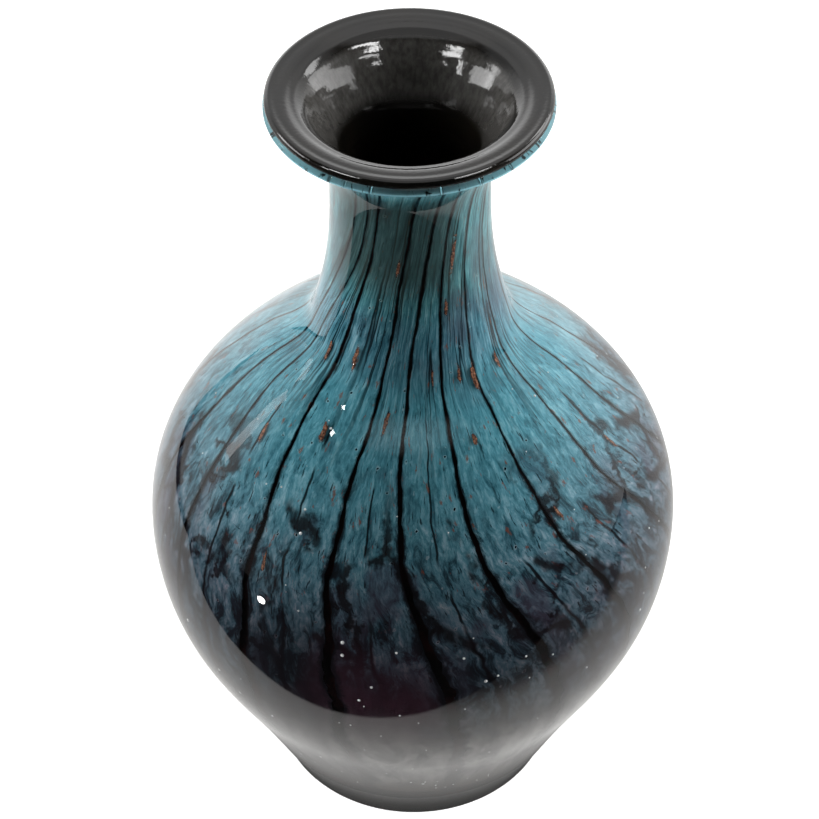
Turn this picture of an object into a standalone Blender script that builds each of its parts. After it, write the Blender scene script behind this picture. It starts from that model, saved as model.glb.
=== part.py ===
"""Hand blown art glass vase, built from the inside out as the glass is gathered.

A black glass lining carries the flared lip. Islands of turquoise glass lie on it, torn apart into
long strips while the bubble was blown, so that the lining shows between them as dark veins. Copper
flecks lie on the turquoise, and a clear casing covers them all and makes the thick, ground foot.
"""

import math

import bmesh
import bpy
import numpy as np
from mathutils import Vector
from mathutils.geometry import interpolate_bezier

MM = 0.001
DEGREE = math.pi / 180

# Outer form: radius and height of each knot of the outline, and its lean from the vertical
HEIGHT = 270 * MM
LIP_RADIUS = 41.4 * MM
LIP_EDGE = 5.0 * MM
LIP_UNDERCUT = 0.7 * MM
LIP_LEAN = 78 * DEGREE
LIP_BEAD = 4.6 * MM
RING_RADIUS = 31.6 * MM
RING_DROP = 1.5 * MM
RING_LEAN = 62 * DEGREE
WAIST_RADIUS = 23.4 * MM
WAIST_BELOW_TOP = 32 * MM
ROOT_RADIUS = 29.8 * MM
ROOT_BELOW_TOP = 80 * MM
ROOT_LEAN = -16 * DEGREE
SHOULDER_RADIUS = 47 * MM
SHOULDER_ABOVE_BELLY = 65.5 * MM
SHOULDER_LEAN = -46 * DEGREE
BELLY_RADIUS = 84.2 * MM
BELLY_HEIGHT = 105 * MM
FLANK_RADIUS = 61 * MM
FLANK_HEIGHT = 34 * MM
FLANK_LEAN = 24 * DEGREE
FOOT_RADIUS = 47.5 * MM
FOOT_EDGE = 3 * MM
HANDLE_REACH = 0.38
FUNNEL_REACH = 0.15

# Layers, from the outer surface inwards; casing and colour thin out from the neck to the lip
CASING_WALL = 2.0 * MM
CASING_LIP_WALL = 1.0 * MM
COLOUR_WALL = 0.8 * MM
COLOUR_LIP_WALL = 0.5 * MM
LINING_WALL = 1.8 * MM
LAYER_GAP = 0.5 * MM
LINING_BELOW_LIP = 4 * MM
CASING_BELOW_LIP = 3 * MM
FLECK_SEAT = 0.45 * MM
FLECK_COVER = 0.7 * MM
FLECK_THICKNESS = 0.3 * MM

# Foot and base
BASE_THICKNESS = 14 * MM
LINING_FLOOR = 4 * MM
FLOOR_FILLET = 8 * MM
PONTIL_RADIUS = 28 * MM
PONTIL_DEPTH = 1.5 * MM

# Turquoise islands: azimuth of each vein in degrees at the vein heights, clockwise from the front
VEIN_HEIGHTS = (262 * MM, 230 * MM, 190 * MM, 150 * MM, 112 * MM, 12 * MM)
VEIN_WIDTHS = (0.9 * MM, 0.9 * MM, 1.1 * MM, 2.2 * MM, 3.4 * MM, 2.6 * MM)
VEINS = (
    (-33, -50, -83, -84, -80, -76),
    (-26, -38, -71, -67, -62, -58),
    (-15, -29, -48, -43, -39, -36),
    (12, -3, -16, -21, -18, -14),
    (28, 14, -1, -3, 6, 12),
    (43, 27, 18, 17, 29, 35),
    (60, 46, 39, 39, 51, 57),
    (82, 67, 64, 62, 75, 82),
    (104, 92, 88, 85, 97, 104),
    (126, 115, 110, 107, 118, 125),
    (150, 138, 132, 130, 141, 148),
    (172, 160, 156, 152, 162, 170),
    (196, 184, 178, 175, 186, 192),
    (224, 208, 202, 198, 208, 215),
    (258, 240, 227, 223, 233, 238),
    (292, 272, 253, 251, 257, 262),
)
CRACK_RISE = 36 * MM
CRACK_JOGS = (9, 11, 4, -4, -6, 2, -2, 5, 0, 9, -3, 6, 11, -1, 7, -3)
CRACK_JOG = 1 * MM
CRACK_SAG = 4 * MM
CRACK_WIDTH = 2.4 * MM
COLOUR_FOOT = 24 * MM
COLOUR_BELOW_LIP = 4.6 * MM

# Copper flecks: azimuth in degrees, share of the height, length and width
FLECKS = (
    (33, 0.837, 12 * MM, 3.6 * MM),
    (-9, 0.83, 6 * MM, 2.5 * MM),
    (25, 0.774, 5 * MM, 3 * MM),
    (-36, 0.707, 8 * MM, 4.5 * MM),
    (-57, 0.693, 6 * MM, 4 * MM),
    (12, 0.693, 4 * MM, 2.5 * MM),
    (28, 0.689, 4.5 * MM, 3.5 * MM),
    (37, 0.685, 6 * MM, 5 * MM),
    (55, 0.685, 4 * MM, 4 * MM),
    (-12, 0.659, 6 * MM, 3.5 * MM),
    (25, 0.641, 5 * MM, 4 * MM),
    (-37, 0.637, 6 * MM, 5 * MM),
    (-59, 0.607, 6 * MM, 4 * MM),
    (72, 0.563, 7 * MM, 3.5 * MM),
    (42, 0.559, 4 * MM, 4.5 * MM),
    (-38, 0.519, 6 * MM, 4 * MM),
    (104, 0.726, 6 * MM, 4 * MM),
    (128, 0.622, 7 * MM, 4 * MM),
    (151, 0.793, 8 * MM, 3 * MM),
    (190, 0.689, 6 * MM, 5 * MM),
    (216, 0.604, 7 * MM, 4 * MM),
    (242, 0.752, 8 * MM, 3.5 * MM),
)

# Facets
CASING_STEPS = 36
LINING_STEPS = 28
SPAN_STEPS = 64
MERGE_DISTANCE = 0.01 * MM
ROW_TURN = 10 * DEGREE
ROW_STEP = 16 * MM
ROW_MARGIN = 2 * MM
ISLAND_COLUMNS = 3
FLECK_SIDES = 8
ARC_STEPS = 4
FUNNEL_STEPS = 7


def knots():
    """Radius, height and lean of the outline's knots, from the lip's underside to the foot."""
    return (
        (LIP_RADIUS - LIP_UNDERCUT, HEIGHT - LIP_EDGE, LIP_LEAN),
        (WAIST_RADIUS, HEIGHT - WAIST_BELOW_TOP, 0),
        (ROOT_RADIUS, HEIGHT - ROOT_BELOW_TOP, ROOT_LEAN),
        (SHOULDER_RADIUS, BELLY_HEIGHT + SHOULDER_ABOVE_BELLY, SHOULDER_LEAN),
        (BELLY_RADIUS, BELLY_HEIGHT, 0),
        (FLANK_RADIUS, FLANK_HEIGHT, FLANK_LEAN),
        (FOOT_RADIUS, FOOT_EDGE, FLANK_LEAN),
    )


def span(upper, lower):
    """Points of the smooth curve between two knots, from the upper to the lower."""
    start, end = Vector(upper[:2]), Vector(lower[:2])
    reach = HANDLE_REACH * (end - start).length
    leave = start - reach * Vector((math.sin(upper[2]), math.cos(upper[2])))
    arrive = end + reach * Vector((math.sin(lower[2]), math.cos(lower[2])))
    return interpolate_bezier(start, leave, arrive, end, SPAN_STEPS)


class Outline:
    """The outer surface's meridian, measured by its length from the lip to the foot."""

    def __init__(self):
        chain = knots()
        points = [p for pair in zip(chain, chain[1:]) for p in span(*pair)[:-1]]
        points.append(Vector(chain[-1][:2]))
        self.points = np.array(points)
        self.along = np.append(0, np.cumsum(np.linalg.norm(np.diff(self.points, axis=0), axis=1)))
        tangent = np.gradient(self.points, self.along, axis=0)
        self.lean = np.arctan2(-tangent[:, 0], -tangent[:, 1])

    def at_height(self, height):
        """Length along the outline at which it passes a height."""
        return float(np.interp(-height, -self.points[:, 1], self.along))

    def offset(self, along, depth):
        """Point below the outer surface by a depth, as radius and height."""
        radius, height = (float(np.interp(along, self.along, self.points[:, i])) for i in (0, 1))
        lean = float(np.interp(along, self.along, self.lean))
        return Vector((radius - depth * math.cos(lean), height + depth * math.sin(lean)))

    def rows(self):
        """Lengths that all layers share as their rows, closer together where the outline bends."""
        rows = [0.0]
        for along, lean in zip(self.along, self.lean):
            turn = abs(lean - np.interp(rows[-1], self.along, self.lean))
            if turn > ROW_TURN or along - rows[-1] > ROW_STEP:
                rows.append(float(along))
        return rows[:-1] + [float(self.along[-1])]


OUTLINE = Outline()
ROWS = OUTLINE.rows()


def thinned(body, lip, along):
    """A wall that thins evenly from the neck's root to the lip."""
    root = OUTLINE.at_height(HEIGHT - ROOT_BELOW_TOP)
    return lip + (body - lip) * min(along / root, 1)


def casing_depth(along):
    return thinned(CASING_WALL, CASING_LIP_WALL, along)


def fleck_depth(along):
    return casing_depth(along) + FLECK_COVER + FLECK_THICKNESS / 2


def colour_depth(along):
    return casing_depth(along) + FLECK_COVER + FLECK_THICKNESS + FLECK_SEAT


def colour_floor(along):
    return colour_depth(along) + thinned(COLOUR_WALL, COLOUR_LIP_WALL, along)


def lining_depth(along):
    return colour_floor(along) + LAYER_GAP


def bore_depth(along):
    lip_wall = LIP_EDGE / math.sin(LIP_LEAN) - lining_depth(0)
    return lining_depth(along) + thinned(LINING_WALL, lip_wall, along)


def cup(depth, floor, rows):
    """Half profile of a layer's face, from the axis along its floor and up to the lip."""
    side = [OUTLINE.offset(along, depth(along)) for along in rows]
    side = [point for point in side if point.y > floor + FLOOR_FILLET]
    foot, above = side[-1], side[-2]
    corner = foot + (above - foot) * ((floor - foot.y) / (above.y - foot.y))
    inner = Vector((corner.x - FLOOR_FILLET, floor))
    rounded = interpolate_bezier(inner, inner.lerp(corner, 0.6), foot.lerp(corner, 0.6), foot, ARC_STEPS)
    return [Vector((0, floor))] + rounded[:-1] + side[::-1]


def arc(centre, radius, start, end):
    """Points on an arc between two angles, measured from the outward direction."""
    angles = np.linspace(start, end, ARC_STEPS)
    return [centre + radius * Vector((math.cos(a), math.sin(a))) for a in angles]


def new_material(name, colour, roughness, alpha=1.0):
    """Principled material of one glass."""
    material = bpy.data.materials.new(name)
    material.use_nodes = True
    shader = material.node_tree.nodes["Principled BSDF"]
    shader.inputs["Base Color"].default_value = (*colour, 1)
    shader.inputs["Roughness"].default_value = roughness
    shader.inputs["Alpha"].default_value = alpha
    material.diffuse_color = (*colour, alpha)
    return material


def add_part(name, mesh, material):
    """Named object for one piece of glass, shaded smooth."""
    part = bpy.data.objects.new(name, mesh)
    mesh.materials.append(material)
    PARTS.objects.link(part)
    mesh.shade_smooth()
    return part


def turned(name, profile, steps, material):
    """Piece turned about the axis from a half profile that ends by running down its outer side."""
    mesh = bpy.data.meshes.new(name)
    edges = [(i, i + 1) for i in range(len(profile) - 1)]
    mesh.from_pydata([(point.x, 0, point.y) for point in profile], edges, [])
    part = add_part(name, mesh, material)
    screw = part.modifiers.new("Turn", "SCREW")
    screw.steps = screw.render_steps = steps
    screw.use_merge_vertices = True
    screw.merge_threshold = MERGE_DISTANCE
    screw.use_smooth_shade = True
    return part


def rows_from(start, rows):
    """Rows of a layer that begins at a length below the lip."""
    return [start] + [row for row in rows if row > start + ROW_MARGIN]


def flare(waist):
    """Inner side of the lip, from the throat up the funnel and over the flat ring to the bead."""
    throat = OUTLINE.offset(waist, bore_depth(waist))
    ring = Vector((RING_RADIUS, HEIGHT - RING_DROP))
    brow = Vector((LIP_RADIUS - LIP_BEAD / 2, HEIGHT))
    slope = Vector((math.sin(RING_LEAN), math.cos(RING_LEAN)))
    rise, run = (ring - throat).length, HANDLE_REACH * (brow - ring).length
    leave, arrive = throat + Vector((0, HANDLE_REACH * rise)), ring - FUNNEL_REACH * rise * slope
    funnel = interpolate_bezier(throat, leave, arrive, ring, FUNNEL_STEPS)
    return funnel + interpolate_bezier(ring, ring + run * slope, brow - Vector((run, 0)), brow, ARC_STEPS)[1:]


def lining():
    """Black inner glass, with the flared lip's flat ring and rounded edge."""
    waist = OUTLINE.at_height(HEIGHT - WAIST_BELOW_TOP)
    inside = cup(bore_depth, BASE_THICKNESS + LAYER_GAP + LINING_FLOOR, rows_from(waist, ROWS[::2]))
    outside = cup(lining_depth, BASE_THICKNESS + LAYER_GAP, rows_from(LINING_BELOW_LIP, ROWS))
    bead = LIP_BEAD / 2
    edge = arc(Vector((LIP_RADIUS - bead, HEIGHT - bead)), bead, math.pi / 2, -math.pi / 2)
    profile = inside[:-1] + flare(waist)[:-1] + edge + outside[::-1]
    return turned("inner_lining", profile, LINING_STEPS, BLACK)


def casing():
    """Clear outer glass, with the ground foot ring and the polished pontil hollow under it."""
    rows = rows_from(CASING_BELOW_LIP, ROWS)
    inside = cup(casing_depth, BASE_THICKNESS, rows)
    outside = [OUTLINE.offset(along, 0) for along in rows]
    centre = Vector((outside[-1].x - FOOT_EDGE * math.cos(FLANK_LEAN), FOOT_EDGE))
    edge = arc(centre, FOOT_EDGE, -FLANK_LEAN, -math.pi / 2)
    rim, middle = Vector((PONTIL_RADIUS, 0)), Vector((0, PONTIL_DEPTH))
    bend = Vector((PONTIL_RADIUS / 2, PONTIL_DEPTH))
    hollow = interpolate_bezier(rim, rim.lerp(bend, 0.6), bend, middle, ARC_STEPS)
    return turned("clear_casing", inside + outside[:-1] + edge + hollow, CASING_STEPS, CLEAR)


def smooth(x, places, values):
    """Value at x of a smooth curve through values at rising places."""
    places, values = np.array(places), np.array(values)
    slopes = np.gradient(values, places)
    i = int(np.clip(np.searchsorted(places, x) - 1, 0, len(places) - 2))
    step = places[i + 1] - places[i]
    t = min(max((x - places[i]) / step, 0), 1)
    rise, fall = t * t * (3 - 2 * t), t * (1 - t)
    bend = step * fall * (slopes[i] * (1 - t) - slopes[i + 1] * t)
    return float(values[i] + (values[i + 1] - values[i]) * rise + bend)


def vein_edge(vein, side, along):
    """Azimuth of one edge of a vein: side 1 is its edge towards rising azimuth."""
    places = [OUTLINE.at_height(height) for height in VEIN_HEIGHTS]
    turns, number = divmod(vein, len(VEINS))
    middle = smooth(along, places, VEINS[number]) * DEGREE + turns * math.tau
    radius = OUTLINE.offset(along, colour_depth(along)).x
    return middle + side * smooth(along, places, VEIN_WIDTHS) / 2 / radius


def place(azimuth, along, depth):
    """World point below the outer surface, with azimuth 0 at the front."""
    point = OUTLINE.offset(along, depth)
    return Vector((point.x * math.sin(azimuth), -point.x * math.cos(azimuth), point.y))


def crack(vein, across):
    """Length along the outline of the crack that parts an island's upper and lower pieces."""
    middle = BELLY_HEIGHT + CRACK_RISE
    left, right = (middle + CRACK_JOGS[v % len(VEINS)] * CRACK_JOG for v in (vein, vein + 1))
    sag = 4 * CRACK_SAG * across * (1 - across)
    return OUTLINE.at_height(left + (right - left) * across - sag)


def island(name, vein, start, end):
    """Slab of colour between two veins, from one length along the outline to another."""
    ends = [f(i / ISLAND_COLUMNS) for f in (start, end) for i in range(ISLAND_COLUMNS + 1)]
    first, last = max(ends[: ISLAND_COLUMNS + 1]), min(ends[ISLAND_COLUMNS + 1 :])
    between = [row for row in ROWS if first + ROW_MARGIN < row < last - ROW_MARGIN]
    mesh = bmesh.new()
    bmesh.ops.create_grid(mesh, x_segments=ISLAND_COLUMNS, y_segments=len(between) + 3, size=0.5)
    sheet = bmesh.ops.extrude_face_region(mesh, geom=mesh.faces[:])
    raised = [item for item in sheet["geom"] if isinstance(item, bmesh.types.BMVert)]
    bmesh.ops.translate(mesh, verts=raised, vec=(0, 0, 1))
    bmesh.ops.recalc_face_normals(mesh, faces=mesh.faces[:])
    for vertex in mesh.verts:
        across, down, outer = vertex.co.x + 0.5, 0.5 - vertex.co.y, vertex.co.z
        near, far = start(across), end(across)
        stations = [near, (near + between[0]) / 2, *between, (between[-1] + far) / 2, far]
        along = stations[round(down * (len(stations) - 1))]
        left, right = vein_edge(vein, 1, along), vein_edge(vein + 1, -1, along)
        depth = colour_depth(along) if outer else colour_floor(along)
        vertex.co = place(left + (right - left) * across, along, depth)
    data = bpy.data.meshes.new(name)
    mesh.to_mesh(data)
    mesh.free()
    part = add_part(name, data, TURQUOISE)
    data.set_sharp_from_angle(angle=40 * DEGREE)
    return part


def islands(vein):
    """Upper and lower island of colour beside one vein."""
    half = CRACK_WIDTH / 2
    top = COLOUR_BELOW_LIP
    foot = OUTLINE.at_height(COLOUR_FOOT)
    number = vein + 1
    island(f"turquoise_neck_{number:02d}", vein, lambda x: top, lambda x: crack(vein, x) - half)
    island(f"turquoise_belly_{number:02d}", vein, lambda x: crack(vein, x) + half, lambda x: foot)


def fleck(number, azimuth, share, length, width):
    """Thin lens of copper glass that lies on the colour, under the casing."""
    name = f"copper_fleck_{number:02d}"
    middle = OUTLINE.at_height(share * HEIGHT)
    radius = OUTLINE.offset(middle, fleck_depth(middle)).x
    mesh = bmesh.new()
    bmesh.ops.create_cone(
        mesh, segments=FLECK_SIDES, radius1=0.5, radius2=0.35, depth=1, cap_ends=True, cap_tris=True
    )
    for vertex in mesh.verts:
        x, y, z = vertex.co
        along = middle - y * length
        depth = fleck_depth(along) - z * FLECK_THICKNESS
        vertex.co = place(azimuth * DEGREE + x * width / radius, along, depth)
    data = bpy.data.meshes.new(name)
    mesh.to_mesh(data)
    mesh.free()
    return add_part(name, data, COPPER)


for old in list(bpy.data.objects):
    bpy.data.objects.remove(old)
PARTS = bpy.data.collections.new("hand_blown_art_glass_vase")
bpy.context.scene.collection.children.link(PARTS)
BLACK = new_material("black_glass", (0.006, 0.006, 0.007), 0.05)
TURQUOISE = new_material("turquoise_glass", (0.02, 0.22, 0.30), 0.15)
COPPER = new_material("copper_glass", (0.28, 0.10, 0.04), 0.3)
CLEAR = new_material("clear_glass", (0.75, 0.85, 0.86), 0.02, alpha=0.25)

lining()
for vein in range(len(VEINS)):
    islands(vein)
for number, fleck_size in enumerate(FLECKS, 1):
    fleck(number, *fleck_size)
casing()
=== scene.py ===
# %% [markdown]
# # A hand blown art glass vase
# The vase was gathered in layers: black glass inside, torn islands of turquoise on it, copper flecks
# on those, and clear glass over everything. The same layers are modelled here one by one, inside out.
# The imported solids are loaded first, and every new piece is laid exactly where its solid is.

# %% Load the frame
import math

import bmesh
import bpy
import numpy as np
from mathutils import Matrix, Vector
from mathutils.geometry import interpolate_bezier


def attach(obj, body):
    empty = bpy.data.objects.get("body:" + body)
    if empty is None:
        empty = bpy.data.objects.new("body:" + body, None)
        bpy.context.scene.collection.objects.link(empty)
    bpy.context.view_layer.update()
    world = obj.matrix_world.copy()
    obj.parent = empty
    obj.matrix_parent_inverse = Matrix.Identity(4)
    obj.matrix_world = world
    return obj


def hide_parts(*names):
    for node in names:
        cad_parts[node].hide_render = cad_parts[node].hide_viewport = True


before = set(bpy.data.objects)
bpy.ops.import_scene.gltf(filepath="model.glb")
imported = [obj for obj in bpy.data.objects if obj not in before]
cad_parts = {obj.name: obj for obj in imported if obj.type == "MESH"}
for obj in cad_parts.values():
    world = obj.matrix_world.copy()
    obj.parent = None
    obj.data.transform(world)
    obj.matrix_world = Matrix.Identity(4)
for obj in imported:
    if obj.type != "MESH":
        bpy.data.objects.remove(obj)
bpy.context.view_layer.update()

# %% [markdown]
# ## The outline
# A blown vase is round, so one curve from the lip to the foot says all about its outer form. The curve
# could be drawn by hand. Here seven knots, each with a radius, a height and a lean, are joined by Bezier
# spans, because then any point of any layer can be named by its length along the outline and its depth
# below the surface.

# %% Outline
MM = 0.001
DEGREE = math.pi / 180
HEIGHT = 270 * MM
FOOT_EDGE = 3 * MM
FOOT_LEAN = 24 * DEGREE
HANDLE_REACH = 0.38
# Radius and height in millimetres, and lean from the vertical in degrees
KNOTS = (
    (40.7, 265, 78),
    (23.4, 238, 0),
    (29.8, 190, -16),
    (47, 170.5, -46),
    (84.2, 105, 0),
    (61, 34, 24),
    (47.5, 3, 24),
)


def outline_span(upper, lower):
    """Points of the curve between two knots, from the upper to the lower."""
    start, end = Vector(upper[:2]) * MM, Vector(lower[:2]) * MM
    reach = HANDLE_REACH * (end - start).length
    lean_up, lean_down = upper[2] * DEGREE, lower[2] * DEGREE
    leave = start - reach * Vector((math.sin(lean_up), math.cos(lean_up)))
    arrive = end + reach * Vector((math.sin(lean_down), math.cos(lean_down)))
    return interpolate_bezier(start, leave, arrive, end, 64)[:-1]


outline = [p for pair in zip(KNOTS, KNOTS[1:]) for p in outline_span(*pair)]
outline = np.array(outline + [Vector(KNOTS[-1][:2]) * MM])
lengths = np.append(0, np.cumsum(np.linalg.norm(np.diff(outline, axis=0), axis=1)))
tangents = np.gradient(outline, lengths, axis=0)
leans = np.arctan2(-tangents[:, 0], -tangents[:, 1])
print("outline length:", round(float(lengths[-1]) / MM), "mm")


def below(along, depth):
    """Radius and height at a depth under the outer surface."""
    lean = np.interp(along, lengths, leans)
    radius = np.interp(along, lengths, outline[:, 0]) - depth * np.cos(lean)
    return radius, np.interp(along, lengths, outline[:, 1]) + depth * np.sin(lean)


def length_at(height):
    """Length along the outline at which it passes a height."""
    return np.interp(-np.asarray(height), -outline[:, 1], lengths)


# %% Depths of the layers
ROOT = float(length_at(190 * MM))


def thinned(body, lip, along):
    """A wall that thins evenly from the neck's root to the lip."""
    return lip + (body - lip) * np.minimum(along / ROOT, 1)


def colour_depth(along):
    return thinned(3.45 * MM, 2.45 * MM, along)


def fleck_depth(along):
    return thinned(2.85 * MM, 1.85 * MM, along)


def lining_depth(along):
    return colour_depth(along) + thinned(1.3 * MM, 1.0 * MM, along)


def bore_depth(along):
    return thinned(6.55 * MM, 5.11 * MM, along)


print("colour lies", round(float(colour_depth(0.2)) / MM, 2), "mm deep on the belly")

# %% [markdown]
# ## Camera
# The photograph looks down on the vase from the front. The camera's height, distance and lens were
# found by fitting the outline to the edge of the object, and its slight roll is kept, because a
# camera held by hand is never quite level.

# %% Camera
CAMERA_ELEVATION = 44.18 * DEGREE
CAMERA_DISTANCE = 783 * MM
aim = Vector((-0.75 * MM, 0, 146.2 * MM))
eye = aim + CAMERA_DISTANCE * Vector((0, -math.cos(CAMERA_ELEVATION), math.sin(CAMERA_ELEVATION)))
camera_data = bpy.data.cameras.new("camera")
camera_data.lens = 109.99
camera_data.sensor_width = 36
camera = bpy.data.objects.new("camera", camera_data)
bpy.context.collection.objects.link(camera)
camera.location = eye
camera.rotation_euler = (aim - eye).to_track_quat("-Z", "Y").to_euler()
camera.rotation_euler.rotate_axis("Z", -0.517 * DEGREE)
bpy.context.scene.camera = camera
bpy.context.scene.view_settings.view_transform = "Standard"
print("camera at", [round(v, 3) for v in eye])

# %% [markdown]
# ## Shader maths
# Every finish below is a formula over the surface. Nodes could be placed one at a time, but a formula
# is easier to read, so a small class wraps a socket: plus, minus and times on it add Math nodes, and
# one method makes any other node.


# %% Wire class
class Wire:
    """A socket whose sums and products add Math nodes to its tree."""

    def __init__(self, tree, socket=None):
        self.tree, self.socket = tree, socket

    def node(self, kind, settings=None, inputs=None, output=0):
        """Any node: its settings first, then the values or wires of its sockets."""
        made = self.tree.nodes.new(kind)
        for name, value in (settings or {}).items():
            if name == "stops":
                for _ in range(len(value) - 2):
                    made.color_ramp.elements.new(0.5)
                for stop, (place, colour) in zip(made.color_ramp.elements, value):
                    stop.position, stop.color = place, (*colour, 1)
            else:
                setattr(made, name, value)
        for name, value in (inputs or {}).items():
            if isinstance(value, Wire):
                self.tree.links.new(value.socket, made.inputs[name])
            else:
                made.inputs[name].default_value = value
        return Wire(self.tree, made.outputs[output] if made.outputs else None)

    def maths(self, operation, *values):
        return self.node("ShaderNodeMath", {"operation": operation}, dict(enumerate(values)))

    def __add__(self, other):
        return self.maths("ADD", self, other)

    def __radd__(self, other):
        return self.maths("ADD", other, self)

    def __sub__(self, other):
        return self.maths("SUBTRACT", self, other)

    def __rsub__(self, other):
        return self.maths("SUBTRACT", other, self)

    def __mul__(self, other):
        return self.maths("MULTIPLY", self, other)

    def __rmul__(self, other):
        return self.maths("MULTIPLY", other, self)

    def __truediv__(self, other):
        return self.maths("DIVIDE", self, other)

    def __neg__(self):
        return self.maths("MULTIPLY", self, -1)

    def rise(self, low, high):
        """Smooth step: 0 below low, 1 above high."""
        inputs = {"Value": self, "From Min": low, "From Max": high}
        return self.node("ShaderNodeMapRange", {"interpolation_type": "SMOOTHSTEP"}, inputs)

    def stretch(self, scales):
        """The same vector with its three parts scaled."""
        return self.node("ShaderNodeVectorMath", {"operation": "MULTIPLY"}, {0: self, 1: scales})

    def noise(self, scale, detail=4.0, roughness=0.55, distortion=0.0):
        """Noise over this vector, about 0.5 in the middle."""
        inputs = {"Vector": self, "Scale": scale, "Detail": detail, "Roughness": roughness}
        return self.node("ShaderNodeTexNoise", inputs={**inputs, "Distortion": distortion})

    def blend(self, first, second, kind="MIX"):
        """First colour where this value is 0, second, or their product, where it is 1."""
        inputs = {0: self, 6: first, 7: second}
        return self.node("ShaderNodeMix", {"data_type": "RGBA", "blend_type": kind}, inputs, output=2)

    def off(self, middle):
        """Distance from a middle value, either way."""
        return self.maths("ABSOLUTE", self - middle)

    def most(self, *others):
        """The greatest of this value and others."""
        greatest = self
        for other in others:
            greatest = self.maths("MAXIMUM", greatest, other)
        return greatest

    def shift(self, way):
        """The same vector moved by another."""
        return self.node("ShaderNodeVectorMath", {"operation": "ADD"}, {0: self, 1: way})

    def length(self):
        """Length of a vector."""
        return self.node("ShaderNodeVectorMath", {"operation": "LENGTH"}, {0: self}, output="Value")

    def outputs(self, *names):
        """Wires of several outputs of this wire's node."""
        return [Wire(self.tree, self.socket.node.outputs[name]) for name in names]

    def parts(self):
        """The three parts of a vector."""
        return self.node("ShaderNodeSeparateXYZ", inputs={0: self}).outputs(0, 1, 2)


def rgb(red, green, blue):
    """A colour as the nodes want it."""
    return (red, green, blue, 1.0)


# %% New finish
def new_finish(name, **constants):
    """A Principled material with its constant sockets set, and a wire to start its formulas."""
    finish = bpy.data.materials.new(name)
    finish.use_nodes = True
    shader = finish.node_tree.nodes["Principled BSDF"]
    for socket, value in constants.items():
        shader.inputs[socket.replace("_", " ")].default_value = value
    return finish, shader, Wire(finish.node_tree)


def feed(shader, socket, wire):
    """Links a formula to one socket of the shader."""
    shader.id_data.links.new(wire.socket, shader.inputs[socket])


print("shader helpers ready")

# %% [markdown]
# ## Studio
# The vase stands on a white sheet in a white room with a dark gap behind the camera. Glass shows its
# surroundings, so this dark gap matters: it is why the front of the belly is clear and deep, while its
# underside carries a grey veil, the reflection of the sheet. The sheet could be cut to its real
# outline, but then its edge would show in other views, so the floor stays whole and only what it
# sends to reflections ends at the sheet's front and left edges, with a grey table beyond. Two softboxes
# light the colour and small lamps add the glints. Those for the lip reach only the black lining, since
# they would leave false glints on the shoulder.

# %% Floor
floor_mesh = bmesh.new()
bmesh.ops.create_circle(floor_mesh, cap_ends=True, segments=96, radius=4)
floor_data = bpy.data.meshes.new("floor")
floor_mesh.to_mesh(floor_data)
floor_mesh.free()
floor = bpy.data.objects.new("floor", floor_data)
bpy.context.collection.objects.link(floor)
floor_finish = bpy.data.materials.new("white_sheet")
floor_finish.use_nodes = True
floor_tree = floor_finish.node_tree
floor_tree.nodes.clear()
start = Wire(floor_tree)
camera_ray, glossy_ray = start.node("ShaderNodeLightPath").outputs("Is Camera Ray", "Is Glossy Ray")
here = start.node("ShaderNodeTexCoord", output="Object")
across, back, _ = here.parts()
left_edge = (back + 0.147 + across * 0.42).rise(-0.004, 0.004)
right_edge = 0.18 + 0.82 * (back + 0.150 - across * 0.30).rise(-0.05, 0.012)
distance = here.length()
beyond = -(across + 0.47 + 0.81 * (back - 0.4).most(0.0))
table = 0.6 * beyond.rise(0.05, 0.14) * (back + 0.1).rise(0, 0.3)
# Painted shadow: what the sheet sends to reflections is dimmed within about 60 mm of the axis, for the vase's own
# shadow round its foot.
sheet = left_edge * right_edge * (0.05 + 0.95 * distance.rise(0.0445, 0.060))
paper = start.node("ShaderNodeBsdfDiffuse", inputs={"Color": rgb(0.86, 0.86, 0.86)})
to_camera = camera_ray * (0.6 + 0.4 * distance.rise(0.5, 2))
glow = start.node("ShaderNodeEmission", inputs={"Color": rgb(1, 1, 1), "Strength": to_camera})
seen = start.node("ShaderNodeAddShader", inputs={0: paper, 1: glow})
behind = (1 - (across / distance).off(0).rise(0.35, 0.75)) * back.rise(0, 0.2)
dimmer_right = 1 - 1.2 * across.rise(-0.1, 0.2) * (1 - back.rise(0.25, 0.6))
far_glow = 0.82 + 0.32 * back.rise(0, 0.15) * dimmer_right + distance.rise(0.4, 1.5) * behind
to_mirrors = sheet * far_glow * (1 - beyond.rise(-0.03, 0)) + table + 0.01
mirrored = start.node("ShaderNodeEmission", inputs={"Color": rgb(1, 0.99, 0.975), "Strength": to_mirrors})
shown = start.node("ShaderNodeMixShader", inputs={0: glossy_ray, 1: seen, 2: mirrored})
start.node("ShaderNodeOutputMaterial", inputs={"Surface": shown})
floor_data.materials.append(floor_finish)
print("floor radius 4 m")

# %% Room
room = bpy.data.worlds.new("room")
bpy.context.scene.world = room
room.use_nodes = True
room.node_tree.nodes.clear()
start = Wire(room.node_tree)
paths = start.node("ShaderNodeLightPath")
glossy_ray, camera_ray, clear_ray = paths.outputs("Is Glossy Ray", "Is Camera Ray", "Is Transmission Ray")
east, north, up = start.node("ShaderNodeTexCoord", output="Generated").parts()
storeys = 1.25 - 0.65 * up.rise(0.38, 0.6) + 0.2 * up.rise(0.75, 0.92)
brighter_middle = 0.9 + 0.8 * (1 - east.off(0).rise(0.35, 0.75))
beyond_sheet = 1 - 0.12 * (-(east + 0.81 * north)).rise(-0.02, 0.05)
wall = north.rise(-0.02, 0.22) * brighter_middle * storeys * beyond_sheet
ceiling = 0.8 * up.rise(0.74, 0.86)
side = 0.6 * east.rise(0.4, 0.7) * (1 - up.rise(0.35, 0.7)) * north.rise(-0.45, 0.0)
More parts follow.
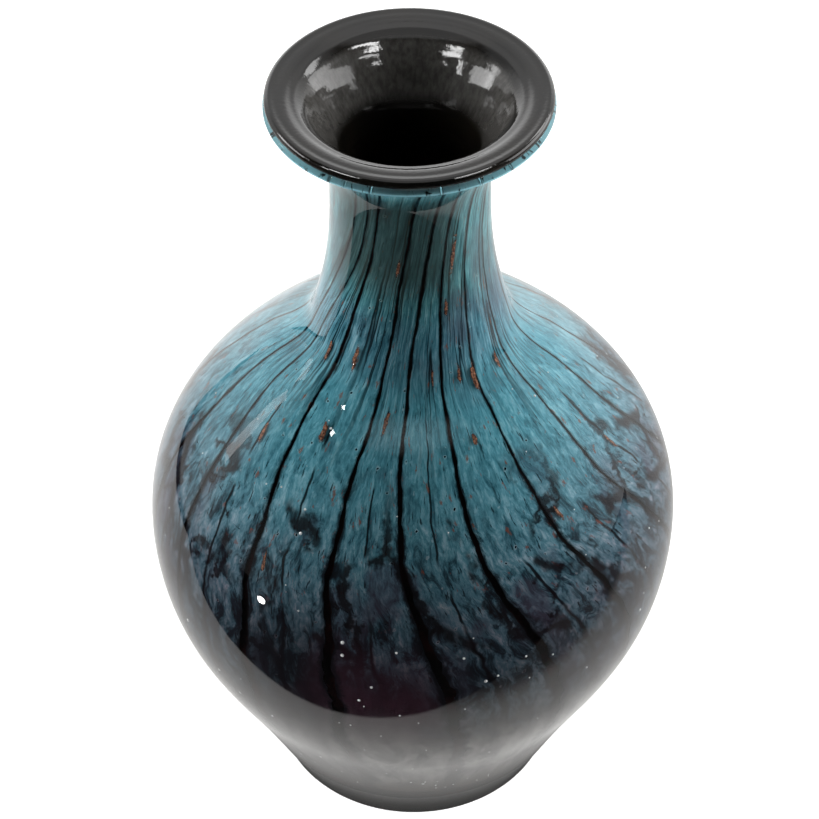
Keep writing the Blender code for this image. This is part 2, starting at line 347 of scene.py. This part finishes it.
window = (-east).rise(0.66, 0.82) * north.rise(-0.62, -0.5) * (1 - up.rise(0.3, 0.42)) * 0.15
mirror_room = wall.most(side, window, ceiling) + 0.012
soft_room = 0.05 + 0.36 * north.rise(-0.3, 0.4)
white = camera_ray.most(clear_ray)
level = white + (1 - white) * (glossy_ray * mirror_room + (1 - glossy_ray) * soft_room)
backdrop = start.node("ShaderNodeBackground", inputs={"Color": rgb(1, 1, 1), "Strength": level})
start.node("ShaderNodeOutputWorld", inputs={"Surface": backdrop})
print("room set")


# %% Lamps
def lamp(name, place, target, wide, tall, level, beam=180):
    """Soft lamp that faces a point; level is its brightness as seen, where 1 is white paper."""
    data = bpy.data.lights.new(name, "AREA")
    data.spread = beam * DEGREE
    data.shape, data.size, data.size_y = "RECTANGLE", wide, tall
    data.energy = level * math.pi * wide * tall
    light = bpy.data.objects.new(name, data)
    light.location = place
    light.rotation_euler = (Vector(target) - Vector(place)).to_track_quat("-Z", "Y").to_euler()
    bpy.context.collection.objects.link(light)
    return light


middle = (0, 0, 0.13)
for name, place, level in (("left_softbox", (-1.12, 0.22, 0.48), 6.6), ("right_softbox", (1.12, 0.22, 0.48), 7.8)):
    lamp(name, place, middle, 0.9, 1.2, level).visible_glossy = False
glints = (
    ("low_window", (-0.65, -0.405, 0.030), (-0.042, -0.066, 0.135), 0.05, 0.07, 0.065, 4),
    ("high_window", (-0.568, -0.28, 0.73), middle, 0.032, 0.032, 24, 180),
    ("left_tube", (-0.953, 0.237, 0.463), middle, 0.08, 0.31, 2.2, 180),
    ("right_window", (0.75, 0.5, 0.9), middle, 0.25, 0.3, 6, 180),
)
for name, place, target, wide, tall, level, beam in glints:
    lamp(name, place, target, wide, tall, level, beam).visible_diffuse = False
mouth = (0, 0.025, 0.264)
inside_glints = (
    ("right_high", (0.562, -0.395, 0.967), 0.4, 0.11, 18),
    ("right_low", (0.615, -0.531, 0.810), 0.36, 0.09, 9),
    ("right_panel", (0.94, 0.16, 0.44), 0.95, 0.55, 3),
    ("left_high", (-0.625, -0.475, 0.851), 0.3, 0.17, 16),
    ("left_low", (-0.809, -0.386, 0.656), 0.07, 0.16, 14),
    ("left_panel", (-0.944, 0.079, 0.517), 0.5, 0.34, 5.5),
)
lip_lamps = [lamp(name, spot, mouth, wide, tall, level) for name, spot, wide, tall, level in inside_glints]
for light in lip_lamps:
    light.visible_diffuse = False

# %% [markdown]
# ## Turned pieces
# The lining and the casing are bodies of revolution. A lathe of this kind is a half profile, a row of
# points from the axis outwards, which spin carries round the axis and merges where it meets itself.


# %% Spin a profile
def finished(name, mesh, finish, nodes=()):
    """Object of a finished mesh, shaded smooth, in the place of its solids."""
    data = bpy.data.meshes.new(name)
    mesh.to_mesh(data)
    mesh.free()
    data.shade_smooth()
    data.materials.append(finish)
    piece = bpy.data.objects.new(name, data)
    bpy.context.collection.objects.link(piece)
    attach(piece, "root")
    if nodes:
        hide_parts(*nodes)
    return piece


def spun(profile, steps):
    """Closed mesh of a half profile turned about the axis."""
    mesh = bmesh.new()
    rim = [mesh.verts.new((radius, 0, height)) for radius, height in profile]
    edges = [mesh.edges.new(pair) for pair in zip(rim, rim[1:])]
    bmesh.ops.spin(
        mesh, geom=rim + edges, axis=(0, 0, 1), cent=(0, 0, 0), angle=math.tau, steps=steps, use_merge=True
    )
    bmesh.ops.remove_doubles(mesh, verts=mesh.verts[:], dist=0.005 * MM)
    bmesh.ops.recalc_face_normals(mesh, faces=mesh.faces[:])
    return mesh


def cup(depth, floor, stations):
    """Half profile of a layer's face, from the axis along its floor and up to the lip."""
    side = [Vector(below(along, depth(along))) for along in stations]
    side = [point for point in side if point.y > floor + 8 * MM]
    foot, above = side[-1], side[-2]
    corner = foot + (above - foot) * ((floor - foot.y) / (above.y - foot.y))
    inner = Vector((corner.x - 8 * MM, floor))
    rounded = interpolate_bezier(inner, inner.lerp(corner, 0.6), foot.lerp(corner, 0.6), foot, 10)
    return [Vector((0, floor)), inner * 0.5 + Vector((0, floor / 2))] + rounded[:-1] + side[::-1]


stations = np.append(np.linspace(0, 40 * MM, 60), np.linspace(41.5 * MM, lengths[-1], 130))

# %% [markdown]
# ## Black lining
# The innermost gather is black glass. It shows as the bore, as the flared lip with its fire polished
# edge, and between the islands as veins. Its bead is a half round. Shallow grooves
# in the profile are the tool's marks on the lip's top, a bump from the distance to the axis adds finer
# rings, and a painted grey sheen in the funnel stands for the reflections on its walls.

# %% Black glass
black_glass, shader, start = new_finish("black_glass", Roughness=0.045, IOR=1.52)
here = start.node("ShaderNodeTexCoord", output="Object")
flat = here.stretch((1, 1, 0))
turns = flat.length() * 2600
rings = turns.maths("SINE", turns) * 0.5 + flat.noise(900, 3)
soot = here.noise(60, 3).rise(0.35, 0.7)
black = soot.blend(rgb(0.0045, 0.0042, 0.0036), rgb(0.009, 0.0075, 0.0055))
height = here.parts()[2]
funnel_zone = height.rise(0.2505, 0.2555) * (1 - height.rise(0.2655, 0.268))
# Painted sheen: a grey colour in the funnel stands for the reflections on its black walls.
painted_sheen = funnel_zone * (0.5 + 0.5 * here.stretch((1, 1, 0.04)).noise(650, 4, 0.65).rise(0.3, 0.7))
feed(shader, "Base Color", painted_sheen.blend(black, rgb(0.085, 0.082, 0.077)))
bump = start.node("ShaderNodeBump", inputs={"Height": rings, "Strength": 0.5, "Distance": 0.08 * MM})
feed(shader, "Normal", bump)

# %% Black under the casing
fused_black, shader, start = new_finish("fused_black_glass", Roughness=0.5, Specular_IOR_Level=0.0)
here = start.node("ShaderNodeTexCoord", output="Object")
smoke = here.noise(120, 3).rise(0.4, 0.75)
feed(shader, "Base Color", smoke.blend(rgb(0.0035, 0.0032, 0.0036), rgb(0.018, 0.0058, 0.0062)))


# %% Lining
def curve(*points, count=24):
    """Bezier span through millimetre points of the half profile."""
    return interpolate_bezier(*(Vector(point) * MM for point in points), count)


BORE_FLOOR, CASING_FLOOR, LINING_FLOOR = 18.5 * MM, 16.5 * MM, 14.5 * MM
BEAD_RADIUS = 1.5 * MM
GROOVE_DEPTH, GROOVE_PITCH = 0.14 * MM, 3.8 * MM
shaft = cup(bore_depth, BORE_FLOOR, stations[stations > 36 * MM])
funnel = curve((17.7, 239), (17.7, 252), (27.4, 266.2), (31.6, 268.5), count=40)
ring = curve((31.6, 268.5), (34, 269.7), (36.5, 270), (39.2, 270), count=40)
waves = [math.cos(math.tau * (p.x - ring[0].x) / GROOVE_PITCH) for p in ring]
ring = [p - Vector((0, GROOVE_DEPTH / 2 * (1 - wave))) for p, wave in zip(ring, waves)]
centre = Vector((39.2 * MM, HEIGHT - BEAD_RADIUS))
turn = np.linspace(math.pi / 2, -math.pi / 2, 24)
bead = [centre + BEAD_RADIUS * Vector((math.cos(a), math.sin(a))) for a in turn]
outside = cup(lining_depth, LINING_FLOOR, stations[stations > 3 * MM])[::-1]
mesh = spun(shaft + funnel[1:-1] + ring[:-1] + bead + outside, 160)
lining = finished("black_lining", mesh, black_glass, ["inner_lining"])
lining.data.materials.append(fused_black)
for face in lining.data.polygons:
    outward = face.normal.xy.dot(face.center.xy) > 0 or face.normal.z < 0
    if outward and face.center.z < 262 * MM:
        face.material_index = 1
lip_only = bpy.data.collections.new("lip_only")
lip_only.objects.link(lining)
for light in lip_lamps:
    light.light_linking.receiver_collection = lip_only
print("lining faces:", len(lining.data.polygons))

# %% [markdown]
# ## Clear casing
# The last gather is clear glass, thick at the foot. It is real refracting glass here: rays bend in it,
# so the colour seems to reach the very edge. Its inner face is sunk into the black lining, because
# fused layers have no air between them. Lamps shine through it as if it weren't there.
# The foot's ring and hollow are dark and dull: painted shade for the vase's own shadow on the sheet beneath them.

# %% Clear glass
clear_glass, shader, start = new_finish(
    "clear_glass", Base_Color=rgb(0.97, 0.985, 0.985), Roughness=0.0, IOR=1.5, Transmission_Weight=1.0
)
here = start.node("ShaderNodeTexCoord", output="Object")
waves = here.noise(26, 2, 0.4)
bump = start.node("ShaderNodeBump", inputs={"Height": waves, "Strength": 0.2, "Distance": 0.6 * MM})
feed(shader, "Normal", bump)

# %% Painted shade on the foot
painted_shade_foot, shader, start = new_finish("painted_shade_foot", IOR=1.5)
here = start.node("ShaderNodeTexCoord", output="Object")
grit = here.noise(2500, 3).rise(0.3, 0.7)
# Painted shade: the dark colour stands for the shadow under the foot, not for the glass itself.
feed(shader, "Base Color", grit.blend(rgb(0.012, 0.011, 0.01), rgb(0.045, 0.043, 0.04)))
feed(shader, "Roughness", 0.45 + 0.3 * grit)

# %% Casing
PONTIL_RADIUS, PONTIL_DEPTH = 28 * MM, 1.5 * MM


def buried_depth(along):
    """Middle of the lining's wall."""
    return (lining_depth(along) + bore_depth(along)) / 2


buried = cup(buried_depth, CASING_FLOOR, stations[stations > 3 * MM])
rim = curve((39.4, 267.9), (41.0, 267.9), (41.75, 266.2), (40.6, 264.98), count=12)
surface = rim + [Vector(below(along, 0)) for along in stations[stations > 0.8 * MM]]
foot_centre = Vector((surface[-1].x - FOOT_EDGE * math.cos(FOOT_LEAN), FOOT_EDGE))
turn = np.linspace(-FOOT_LEAN, -math.pi / 2, 9)[1:]
foot = [foot_centre + FOOT_EDGE * Vector((math.cos(a), math.sin(a))) for a in turn]
pontil = ((1, 0), (0.7, 0.6), (0.5, 1), (0, 1))
pontil = (Vector((across * PONTIL_RADIUS, rise * PONTIL_DEPTH)) for across, rise in pontil)
hollow = interpolate_bezier(*pontil, 14)
casing = finished(
    "clear_casing_glass", spun(buried + surface + foot + hollow, 192), clear_glass, ["clear_casing"]
)
casing.visible_shadow = False
casing.visible_diffuse = False
casing.data.materials.append(painted_shade_foot)
for face in casing.data.polygons:
    if face.center.z < PONTIL_DEPTH + 0.1 * MM:
        face.material_index = 1
print("casing faces:", len(casing.data.polygons))

# %% [markdown]
# ## Turquoise islands
# A band of turquoise was rolled on to the black and then torn by blowing and twisting: long strips on
# the neck, broad scales on the belly. Each island is a grid that is bent on to its layer between two
# veins. It carries a map of its own, across and along the strip, so that streaks follow the twist.
# At the lip the strips turn out to the surface, so that their colour shows at its edge.

# %% Veins
VEIN_HEIGHTS = np.array((262, 230, 190, 150, 112, 12)) * MM
VEIN_WIDTHS = np.array((0.4, 0.5, 0.7, 1.4, 2.7, 2.4)) * MM
VEIN_FORCES = (0.75, 0.7, 1.05, 1.1, 1.15, 1.1, 0.8, 0.65, 0.6, 0.7, 0.9, 0.7, 0.85, 1, 0.8, 0.75)
VEINS = (
    (-33, -50, -83, -84, -80, -76),
    (-26, -38, -71, -67, -62, -58),
    (-15, -29, -48, -43, -39, -36),
    (12, -3, -16, -21, -18, -14),
    (28, 14, -1, -3, 6, 12),
    (43, 27, 18, 17, 29, 35),
    (60, 46, 39, 39, 51, 57),
    (82, 67, 64, 62, 75, 82),
    (104, 92, 88, 85, 97, 104),
    (126, 115, 110, 107, 118, 125),
    (150, 138, 132, 130, 141, 148),
    (172, 160, 156, 152, 162, 170),
    (196, 184, 178, 175, 186, 192),
    (224, 208, 202, 198, 208, 215),
    (258, 240, 227, 223, 233, 238),
    (292, 272, 253, 251, 257, 262),
)
CRACK_HEIGHTS = (150, 152, 145, 137, 135, 143, 139, 146, 141, 150, 138, 147, 152, 140, 148, 138)
CRACK_SAG = 16 * MM
STRIP_WIDTH = 20 * MM
vein_places = length_at(VEIN_HEIGHTS)


def smooth(along, values):
    """Smooth curve through values at the veins' places."""
    values = np.asarray(values, float)
    slopes = np.gradient(values, vein_places)
    i = np.clip(np.searchsorted(vein_places, along) - 1, 0, len(vein_places) - 2)
    step = vein_places[i + 1] - vein_places[i]
    t = np.clip((along - vein_places[i]) / step, 0, 1)
    bend = step * t * (1 - t) * (slopes[i] * (1 - t) - slopes[i + 1] * t)
    return values[i] + (values[i + 1] - values[i]) * t * t * (3 - 2 * t) + bend


def wander(along, seed):
    """Uneven tear of a vein's edge, from -1 to 1."""
    waves = ((31, 0.45), (13, 0.3), (6.1, 0.17), (2.9, 0.08))
    shifts = [seed * (3.1 + i) for i in range(len(waves))]
    return sum(size * np.sin(math.tau * along / (wave * MM) + s) for (wave, size), s in zip(waves, shifts))


def vein_edge(vein, side, along):
    """Azimuth of one edge of a vein: side 1 is its edge towards rising azimuth."""
    turns, number = divmod(vein, len(VEINS))
    width = smooth(along, VEIN_WIDTHS) * VEIN_FORCES[number]
    radius = below(along, colour_depth(along))[0]
    middle = smooth(along, VEINS[number]) * DEGREE + turns * math.tau
    torn = 0.5 * side + 0.35 * wander(along, number * 2.7) + 0.3 * wander(along, number * 4.3 + side)
    return middle + torn * width / radius


# %% Island pieces
def crack(vein, across):
    """Length along the outline of the crack between an island's upper and lower pieces."""
    left, right = (CRACK_HEIGHTS[v % len(VEINS)] * MM for v in (vein, vein + 1))
    sag = CRACK_SAG * across * (1 - across)
    jag = 1.3 * MM * wander(across * 34 * MM, vein * 1.9)
    return length_at(left + (right - left) * across - sag + jag)


def place(azimuth, along, depth):
    """Points below the outer surface, with azimuth 0 at the front."""
    radius, height = below(along, depth)
    return np.stack((radius * np.sin(azimuth), -radius * np.cos(azimuth), height), axis=-1)


def island(name, vein, start, end, columns, rows, finish):
    """Slab of colour between two veins, from one length along the outline to another."""
    mesh = bmesh.new()
    bmesh.ops.create_grid(mesh, x_segments=columns, y_segments=rows, size=0.5)
    sheet = bmesh.ops.extrude_face_region(mesh, geom=mesh.faces[:])
    raised = [item for item in sheet["geom"] if isinstance(item, bmesh.types.BMVert)]
    bmesh.ops.translate(mesh, verts=raised, vec=(0, 0, 1))
    bmesh.ops.recalc_face_normals(mesh, faces=mesh.faces[:])
    for border in mesh.edges:
        border.smooth = border.calc_face_angle(0) < 1
    mesh.verts.index_update()
    flat = np.array([vertex.co for vertex in mesh.verts])
    across, down, outer = flat[:, 0] + 0.5, 0.5 - flat[:, 1], flat[:, 2]
    along = start(across) + (end(across) - start(across)) * down
    left, right = vein_edge(vein, 1, along), vein_edge(vein + 1, -1, along)
    turned_out = np.interp(along, (0, 5 * MM), (0.12, 1))
    depth = colour_depth(along) * turned_out + (1 - outer) * thinned(0.8 * MM, 0.5 * MM, along)
    bent = place(left + (right - left) * across, along, depth)
    width = (right - left) * below(along, 0)[0]
    shore = np.minimum(across, 1 - across) * width
    rift = np.abs(along - crack(vein, across))
    flow = mesh.loops.layers.uv.new("flow")
    edge, tear = mesh.verts.layers.float.new("edge"), mesh.verts.layers.float.new("tear")
    for vertex, point, to_vein, to_crack in zip(mesh.verts, bent, shore, rift):
        vertex.co, vertex[edge], vertex[tear] = point, to_vein / MM, to_crack / MM
    for face in mesh.faces:
        for corner in face.loops:
            i = corner.vert.index
            corner[flow].uv = ((vein + across[i]) * STRIP_WIDTH, along[i])
    return finished(name + "_glass", mesh, finish, [name])


# %% [markdown]
# ## Turquoise glass
# The colour isn't even: it was powder and chips, drawn out into streaks on the neck and left as
# feathery flakes on the belly, thin over the black below. A noise stretched along the island's own
# map gives the streaks, a shorter one the flakes, and the distance to the island's edge darkens the
# tears. Short dark veins split the wide scales. Towards the foot the colour darkens, partly thinner
# colour and partly painted shade, and near the foot there is only grey ash. Some light and shade is
# painted as well: shade in the neck's root, on the front of the neck under the lip and low on the
# belly left of the front, and light under the lip. Heights and distances in the formulas are in metres.

# %% Turquoise finish
turquoise_glass, shader, start = new_finish("turquoise_glass", Roughness=0.4, Specular_IOR_Level=0.0)
here = start.node("ShaderNodeTexCoord", output="Object")
side, back, height = here.parts()
front = -back
flow = start.node("ShaderNodeUVMap", {"uv_map": "flow"})
edge = start.node("ShaderNodeAttribute", {"attribute_name": "edge"}, output="Fac")
tear = start.node("ShaderNodeAttribute", {"attribute_name": "tear"}, output="Fac")
belly = 1 - height.rise(0.128, 0.172)

# %% Fibres and flakes
drawn = height.rise(0.168, 0.19)
long_fibres = flow.stretch((1100, 100, 1)).noise(1, 4, 0.68, 0.4)
short_fibres = flow.stretch((760, 250, 1)).noise(1, 5, 0.7, 0.5)
fibres = drawn * long_fibres + (1 - drawn) * short_fibres
flakes = flow.stretch((270, 80, 1)).noise(1, 9, 0.72, 0.7)
shoulder = height.rise(0.14, 0.16) * (1 - height.rise(0.183, 0.2))
grain = fibres * 0.42 + flakes * 0.58
grain = grain + shoulder * 0.3 * (0.56 - grain)
TEALS = (
    (0.37, (0.014, 0.06, 0.083)),
    (0.46, (0.04, 0.165, 0.212)),
    (0.53, (0.078, 0.262, 0.325)),
    (0.63, (0.22, 0.46, 0.53)),
)
colour = grain.node("ShaderNodeValToRGB", {"stops": TEALS}, {0: grain})
low = 1 - height.rise(0.1, 0.14)
hollows = (1 - (flakes - 0.06 * low).rise(0.37, 0.51)) * (0.2 + 0.75 * belly)
colour = hollows.blend(colour, rgb(0.009, 0.022, 0.032))
cloud = here.stretch((1, 1, 0.45)).noise(60, 3, 0.55)
colour = (cloud.rise(0.5, 0.66) * (0.6 - 0.35 * shoulder)).blend(colour, rgb(0.05, 0.075, 0.11))

# %% Threads, dashes and brown chips
seam = flow.stretch((120, 5, 1)).noise(1, 3, 0.5, 0.4)
broken = flow.stretch((60, 16, 1)).noise(1, 2).rise(0.34, 0.5)
threads = (1 - (seam.off(0.5) - 0.014 * belly).rise(0.004, 0.03)) * broken
dark = threads * (0.08 + 0.92 * height.rise(0.16, 0.188)) * 0.92
strip = flow.parts()[0] / STRIP_WIDTH
lane = strip.maths("FRACT", strip)
split = (lane + (flow.stretch((60, 32, 2)).noise(1, 4) - 0.5) * 0.3).off(0.46)
half_veins = (1 - (split + (height - 0.11) * 1.1).rise(0.012, 0.06)) * (1 - height.rise(0.125, 0.14))
stretches = flow.stretch((40, 36, 4)).noise(1, 2).rise(0.47, 0.53)
short_veins = (1 - split.rise(0.01, 0.028)) * stretches * (1 - drawn)
dashes = flow.stretch((1100, 130, 3)).noise(1, 3, 0.6).rise(0.615, 0.675)
dark = dark.most(half_veins, short_veins * 0.95, dashes * 0.88)
colour = dark.blend(colour, rgb(0.004, 0.005, 0.006))
chips = flow.stretch((430, 150, 7)).noise(1, 4, 0.65).rise(0.615, 0.675) * height.rise(0.115, 0.15)
colour = (chips * 0.8).blend(colour, rgb(0.15, 0.062, 0.034))
ragged = here.shift(here.noise(700, 2).stretch((0.0012, 0.0012, 0.0024)))
holes = start.node("ShaderNodeTexVoronoi", inputs={"Vector": ragged, "Scale": 165.0}, output="Distance")
colour = (holes.rise(0.055, 0.065) * (1 - holes.rise(0.085, 0.11)) * 0.5).blend(colour, rgb(0.25, 0.45, 0.5))
colour = (1 - holes.rise(0.05, 0.062)).blend(colour, rgb(0.004, 0.004, 0.005))

# %% Cracks
patches = here.noise(80, 3).rise(0.53, 0.6)
jagged = tear + (flakes - 0.5) * 7
rifts = (1 - jagged.off(0).rise(0.15, 0.9)) * patches * (1 - tear.rise(1.5, 2.5))
bent = flow.stretch((58, 40, 1)).shift(here.noise(150, 4).stretch((0.9, 0.9, 0)))
to_edges = {"feature": "DISTANCE_TO_EDGE", "voronoi_dimensions": "2D"}
cells = start.node("ShaderNodeTexVoronoi", to_edges, {"Vector": bent, "Scale": 1.0})
crazed = (1 - cells.rise(0.03, 0.15)) * (1 - height.rise(0.15, 0.17)) * cloud.rise(0.45, 0.53)
crazed = crazed.most(rifts)
colour = (crazed * 0.92).blend(colour, rgb(0.006, 0.006, 0.007))

# %% Depth of colour
slate = 1 - height.rise(0.122, 0.176)
colour = slate.blend(colour, rgb(0.92, 0.45, 0.47), "MULTIPLY")
plum = (1 - height.rise(0.1, 0.13)) * (1 - (side + (cloud - 0.5) * 0.05).off(-0.012).rise(0.01, 0.03))
colour = (plum * 0.92).blend(colour, rgb(0.085, 0.032, 0.052))
drift = flow.stretch((190, 50, 5)).noise(1, 4, 0.55, 0.4)
ash = drift.rise(0.28, 0.7).blend(rgb(0.006, 0.006, 0.006), rgb(0.17, 0.163, 0.155))
ash = (1 - height.rise(0.027, 0.045)).blend(ash, rgb(0.028, 0.021, 0.015))
colour = (1 - height.rise(0.07, 0.105)).blend(colour, ash)
# Painted shade: the colour is dimmed in the concave root of the neck, where shade gathers.
root = height.rise(0.178, 0.19) * (1 - height.rise(0.2, 0.212))
colour = root.blend(colour, rgb(0.95, 0.8, 0.82), "MULTIPLY")
# The neck's colour is thin and dark all round, and its front under the lip is darkened further: painted shade for
# the lip's shadow.
thin_and_shaded_neck = height.rise(0.203, 0.222) * (1 - height.rise(0.245, 0.256))
colour = (thin_and_shaded_neck * (0.12 + 0.68 * (front - side * 0.25).rise(0.009, 0.018))).blend(colour, rgb(0.03, 0.043, 0.044))
colour = height.rise(0.195, 0.215).blend(colour, rgb(1, 0.97, 0.87), "MULTIPLY")
# Painted light: the colour at the islands' tops, under the lip, is paler for the light thrown up on the lip's
# underside.
lip_underside_light = height.rise(0.248, 0.262)
colour = (lip_underside_light * 0.8).blend(colour, rgb(0.34, 0.72, 0.82))
marks = flow.stretch((330, 420, 9)).noise(1, 3, 0.6).rise(0.58, 0.65) * height.rise(0.261, 0.264)
colour = (marks * 0.95).blend(colour, rgb(0.004, 0.005, 0.006))
# Painted shade: a stripe low on the belly, left of the front, is darkened where that side lies in deeper shade.
low_left_shade = (1 - height.rise(0.112, 0.14)) * (1 - (side + (cloud - 0.5) * 0.04).off(-0.035).rise(0.006, 0.024))
colour = (low_left_shade * 0.6).blend(colour, rgb(0.006, 0.006, 0.008))
# Painted shade in part: the colour darkens from the shoulder down, partly as thinner colour, lifts again in the
# ash near the foot, and is darker at the torn edges, where the colour is thin.
shade = height.rise(0.082, 0.15)
shade = shade.most(0.35 + 0.55 * (1 - height.rise(0.06, 0.092)))
torn = (edge + (grain - 0.5) * (2 + 8 * belly)).rise(-0.1, 0.6 + 1.8 * belly)
colour = (shade * (0.1 + 0.9 * torn)).blend(rgb(0.006, 0.006, 0.008), colour)
feed(shader, "Base Color", colour)

# %% Islands
COLOUR_TOP, COLOUR_FOOT = 0.1 * MM, float(length_at(24 * MM))
HALF_GAP = 0.002 * MM


def even_end(length):
    """An end of an island that keeps one length along the outline."""
    return lambda across: length + 0 * across


def torn_end(vein, shift):
    """An end of an island that follows the crack."""
    return lambda across: crack(vein, across) + shift


for vein in range(len(VEINS)):
    upper, lower = torn_end(vein, -HALF_GAP), torn_end(vein, HALF_GAP)
    island(f"turquoise_neck_{vein + 1:02d}", vein, even_end(COLOUR_TOP), upper, 14, 110, turquoise_glass)
    island(f"turquoise_belly_{vein + 1:02d}", vein, lower, even_end(COLOUR_FOOT), 16, 80, turquoise_glass)
print("islands:", 2 * len(VEINS))

# %% [markdown]
# ## Copper flecks
# Chips of copper bearing glass lie on the turquoise and glint brown and orange. Each is a thin lens
# with an uneven rim, pulled long on the neck, in the place of its solid.

# %% Copper finish
copper_glass, shader, start = new_finish("copper_glass", Roughness=0.35, Specular_IOR_Level=0.0)
here = start.node("ShaderNodeTexCoord", output="Object")
grains = here.noise(1400, 3, 0.6)
copper = grains.node(
    "ShaderNodeValToRGB",
    {"stops": ((0.36, (0.035, 0.018, 0.014)), (0.5, (0.12, 0.056, 0.037)), (0.68, (0.33, 0.165, 0.1)))},
    {0: grains},
)
feed(shader, "Base Color", copper)
rim = start.node("ShaderNodeAttribute", {"attribute_name": "rim"}, output="Fac")
feed(shader, "Alpha", ((1 - rim) * 1.5 + (here.noise(420, 4, 0.7) - 0.5) * 2.6).rise(0.2, 0.85))

# %% Flecks
# Azimuth in degrees, then height, length and width in millimetres
FLECKS = (
    (33, 226, 12, 3.6),
    (-9, 224, 6, 2.5),
    (25, 209, 5, 3),
    (-36, 191, 8, 4.5),
    (-57, 187, 6, 4),
    (12, 187, 4, 2.5),
    (28, 186, 4.5, 3.5),
    (37, 185, 6, 5),
    (55, 185, 4, 4),
    (-12, 178, 6, 3.5),
    (25, 173, 5, 4),
    (-37, 172, 6, 5),
    (-59, 164, 6, 4),
    (72, 152, 7, 3.5),
    (42, 151, 4, 4.5),
    (-38, 140, 6, 4),
    (104, 196, 6, 4),
    (128, 168, 7, 4),
    (151, 214, 8, 3),
    (190, 186, 6, 5),
    (216, 163, 7, 4),
    (242, 203, 8, 3.5),
)
for number, (azimuth, height_mm, long, wide) in enumerate(FLECKS, 1):
    mesh = bmesh.new()
    bmesh.ops.create_uvsphere(mesh, u_segments=28, v_segments=10, radius=0.5)
    middle = float(length_at(height_mm * MM))
    radius = float(below(middle, fleck_depth(middle))[0])
    gaps = [abs((smooth(middle, vein) - azimuth + 180) % 360 - 180) for vein in VEINS]
    guide = VEINS[int(np.argmin(gaps))]
    rim = mesh.verts.layers.float.new("rim")
    for vertex in mesh.verts:
        x, y, z = vertex.co
        vertex[rim] = 2 * math.hypot(x, y)
        ragged = 0.7 + 0.35 * float(wander(math.atan2(y, x) * 5 * MM, number * 1.7))
        along = middle - y * ragged * long * 2.1 * MM
        twist = (smooth(along, guide) - smooth(middle, guide)) * DEGREE
        spot = azimuth * DEGREE + twist + x * ragged * wide * 0.6 * MM / radius
        vertex.co = place(spot, along, fleck_depth(along) - z * 0.3 * MM)
    finished(f"copper_fleck_{number:02d}_glass", mesh, copper_glass, [f"copper_fleck_{number:02d}"])
print("flecks:", len(FLECKS))

# %% [markdown]
# ## Seed bubbles
# Small bubbles of air stay in the casing, most of them low on the body. From inside the glass, the wall of
# a bubble throws most light back, so each is a small pale ball, partly metallic. There are hundreds,
# so each has few faces.

# %% Bubbles
air, shader, start = new_finish("air_bubble", Roughness=0.25, Metallic=0.35)
here = start.node("ShaderNodeTexCoord", output="Object")
feed(shader, "Base Color", here.noise(300, 1).rise(0.3, 0.7).blend(rgb(0.7, 0.72, 0.72), rgb(0.97, 0.97, 0.97)))
BUBBLES = 240
dice = np.random.default_rng(11)
seeds = bmesh.new()
for _ in range(BUBBLES):
    along = float(length_at((28 + 150 * dice.random() ** 1.5) * MM))
    spot = Vector(place(dice.random() * math.tau, along, (1.0 + 0.9 * dice.random()) * MM))
    made = bmesh.ops.create_uvsphere(
        seeds, u_segments=8, v_segments=5, radius=(0.22 + 0.42 * dice.random() ** 3) * MM
    )
    bmesh.ops.translate(seeds, verts=made["verts"], vec=spot)
bubbles = finished("seed_bubbles", seeds, air)
bubbles.visible_shadow = False
bubbles.visible_diffuse = False
print("bubbles:", BUBBLES)
